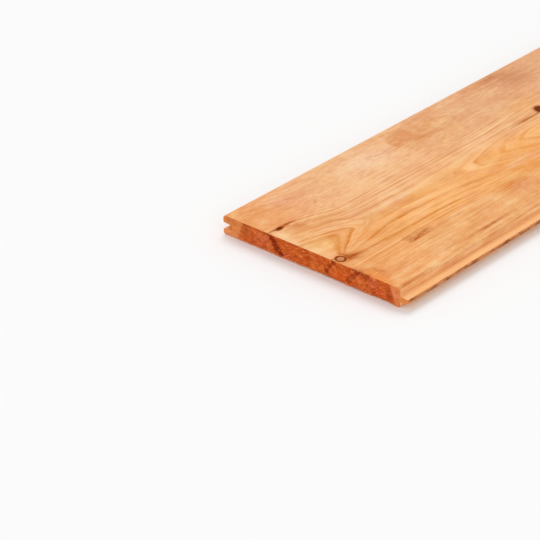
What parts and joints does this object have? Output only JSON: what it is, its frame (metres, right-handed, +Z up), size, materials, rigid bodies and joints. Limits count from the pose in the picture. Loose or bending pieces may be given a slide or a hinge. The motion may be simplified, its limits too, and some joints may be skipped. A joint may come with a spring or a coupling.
{
  "type": "tongue and groove board",
  "caption": "Planed softwood board with a tongue along one edge, a groove along the other and bevelled face edges, for panelling, floors and cladding.",
  "frame": {"origin": "middle of the underside, halfway along the length and halfway across the width over the tongue", "axes": "+X across the width towards the tongue, with the groove at -X; +Y along the length; +Z up out of the bevelled face"},
  "size_m": [0.2034, 1.8, 0.018],
  "materials": {
    "wood": "planed, unfinished"
  },
  "bodies": {
    "root": {"tongue_and_groove_board": "wood"}
  },
  "joints": []
}
